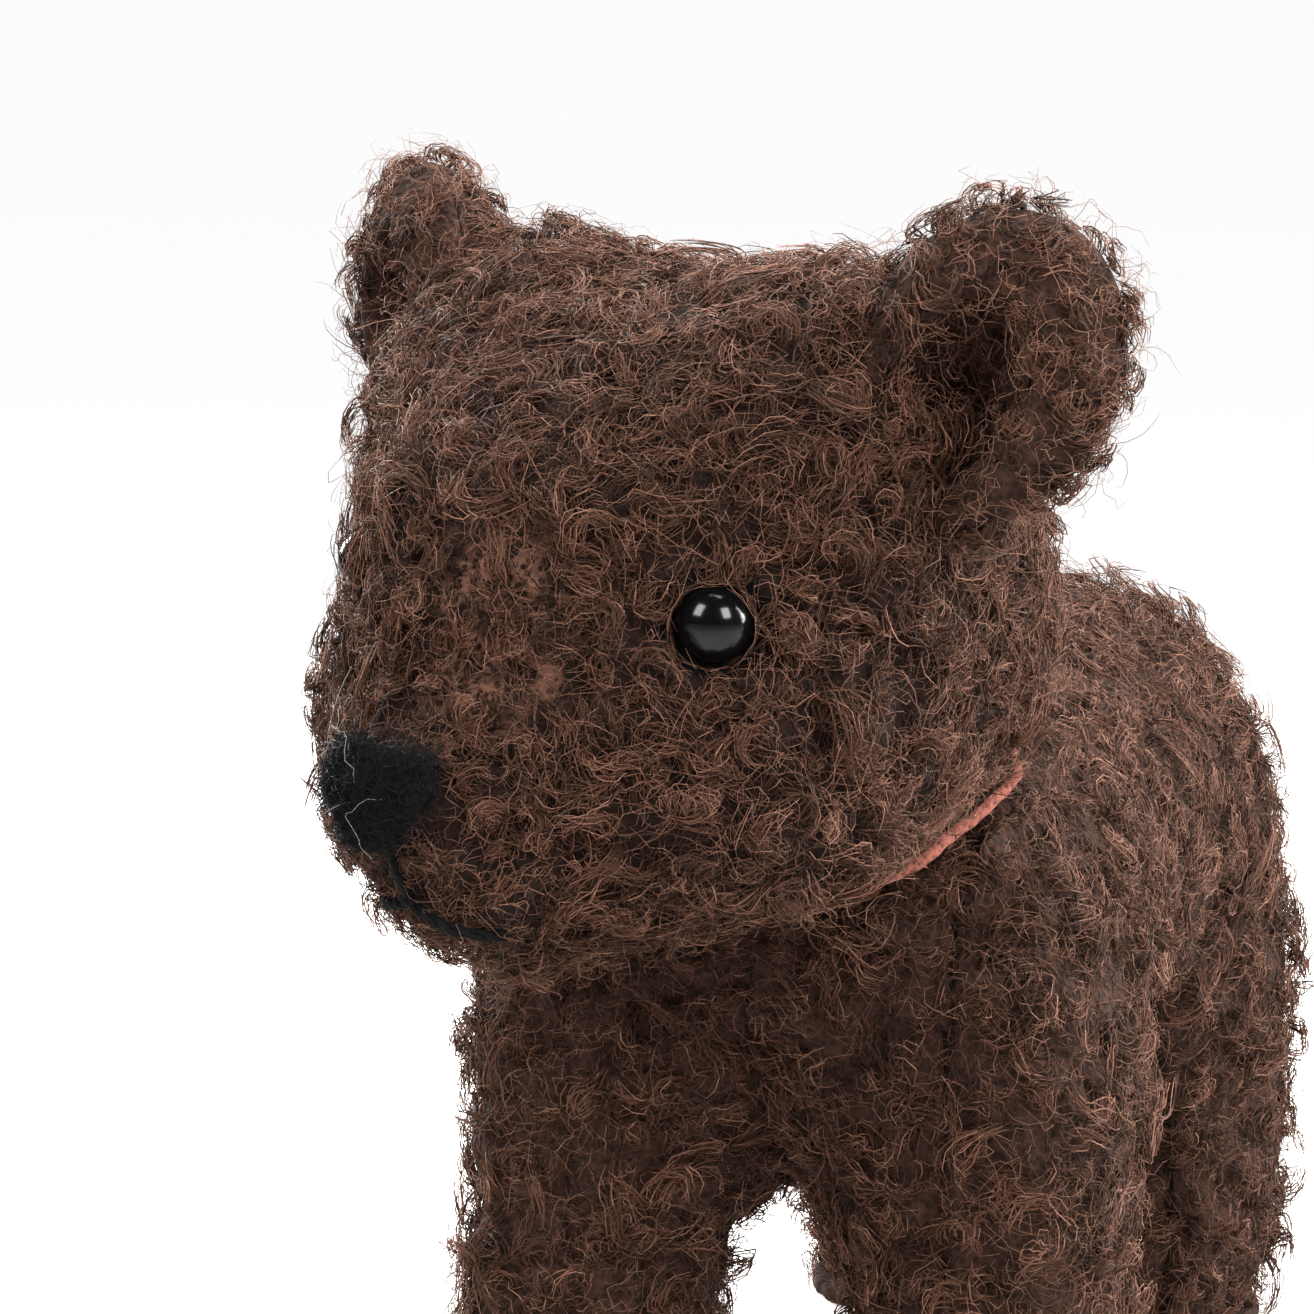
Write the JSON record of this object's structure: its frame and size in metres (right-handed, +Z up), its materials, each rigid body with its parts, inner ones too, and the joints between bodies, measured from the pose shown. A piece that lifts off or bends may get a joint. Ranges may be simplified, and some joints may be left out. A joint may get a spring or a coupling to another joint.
{
  "type": "jointed teddy bear",
  "caption": "Stuffed bear cub of dark brown curly mohair standing on all fours, with bead eyes, a felt nose and a head that swivels on a disc joint.",
  "frame": {"origin": "the middle of the bear's box, on the ground that its feet stand on", "axes": "+Z up; -Y the way the body faces; +X the bear's own left"},
  "size_m": [0.1018, 0.1898, 0.1626],
  "materials": {
    "mohair": "curly pile, dark chocolate brown with lighter tips",
    "ear_lining": "the same pile inside the ear",
    "sole_cloth": "short brown plush",
    "edge_band": "bare coral knit, gathered",
    "wadding": "loose white fibre",
    "nose_felt": "black needle-felted wool",
    "thread": "black waxed thread",
    "eye_glass": "polished black glass bead",
    "hardboard": "pressed fibreboard",
    "steel": "zinc plated"
  },
  "bodies": {
    "body": {"body_joint_disc": "hardboard", "body_joint_washer": "steel", "body_side_left": "mohair", "body_side_right": "mohair", "front_left_foot_sole": "sole_cloth", "front_left_leg_stuffing": "wadding", "front_right_foot_sole": "sole_cloth", "front_right_leg_stuffing": "wadding", "hind_left_foot_sole": "sole_cloth", "hind_left_leg_stuffing": "wadding", "hind_right_foot_sole": "sole_cloth", "hind_right_leg_stuffing": "wadding", "neck_cotter_pin": "steel", "torso_stuffing": "wadding", "underbody_left": "mohair", "underbody_right": "mohair"},
    "head": {"ear_left_back": "mohair", "ear_left_front": "ear_lining", "ear_right_back": "mohair", "ear_right_front": "ear_lining", "eye_left": "eye_glass", "eye_right": "eye_glass", "head_gusset": "mohair", "head_joint_disc": "hardboard", "head_joint_washer": "steel", "head_side_left": "mohair", "head_side_right": "mohair", "head_stuffing": "wadding", "mouth_stitch_centre": "thread", "mouth_stitch_left": "thread", "mouth_stitch_right": "thread", "neck_edge_band": "edge_band", "nose_pad": "nose_felt"}
  },
  "joints": [
    {"name": "head_swivel", "type": "hinge", "parent": "body", "child": "head", "pos_m": [0.00449, -0.03176, 0.0935], "axis": [0, -0.5736, 0.8192], "continuous": true}
  ]
}
